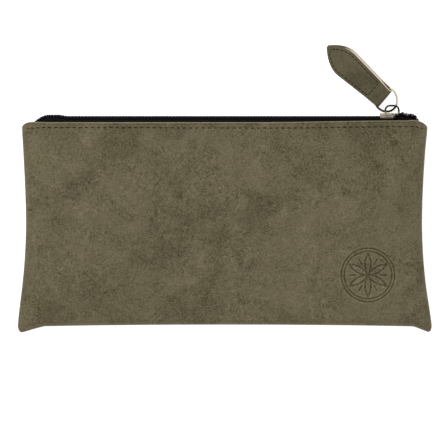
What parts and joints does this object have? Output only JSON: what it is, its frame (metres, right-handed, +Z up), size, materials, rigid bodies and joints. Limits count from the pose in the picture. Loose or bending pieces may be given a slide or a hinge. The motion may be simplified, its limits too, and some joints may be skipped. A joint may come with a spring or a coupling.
{
  "type": "zipped pen case",
  "caption": "Flat soft leather pouch for pens, closed by a zip along its long top edge, with a metal slider, a wire ring and a folded leather pull tab.",
  "frame": {"origin": "middle of the case's outline on the flat outer face of the back panel, on which it lies", "axes": "+X along the zip towards its closed end, +Y from the bottom seam to the zip, +Z up through the front panel"},
  "size_m": [0.2094, 0.1454, 0.0129],
  "materials": {
    "leather": "matt olive nubuck with cloudy mottling",
    "tab_leather": "matt olive nubuck, pale raw cut edges",
    "lining": "dark woven cotton lining",
    "thread": "dark brown sewing thread",
    "zip_tape": "black woven zip tape",
    "zip_coil": "black nylon coil, satin",
    "slider_metal": "antique brass plating, slightly worn",
    "brass": "polished brass wire"
  },
  "bodies": {
    "case": {"front_panel": "leather", "back_panel": "leather", "front_lining": "lining", "back_lining": "lining", "topstitch_front": "thread", "topstitch_back": "thread", "seam_thread": "thread", "zip_tape_front": "zip_tape", "zip_tape_back": "zip_tape", "zip_tack_left": "zip_tape", "zip_tack_right": "zip_tape", "zip_coil_front": "zip_coil", "zip_coil_back": "zip_coil"},
    "slider": {"slider_body": "slider_metal"},
    "ring": {"pull_ring": "brass"},
    "tab": {"tab_leather": "tab_leather", "tab_thread": "thread"}
  },
  "joints": [
    {"name": "slider_travel", "type": "slide", "parent": "case", "child": "slider", "axis": [-1, 0, 0], "range_m": [0, 0.158]},
    {"name": "ring_swing", "type": "hinge", "parent": "slider", "child": "ring", "pos_m": [0.08416, 0.0572, 0.0057], "axis": [0, 0, 1], "range_deg": [-50, 0]},
    {"name": "tab_fold", "type": "hinge", "parent": "ring", "child": "tab", "pos_m": [0.07996, 0.06426, 0.00615], "axis": [0.5158, 0.6125, 0.599], "range_deg": [0, 98]}
  ]
}
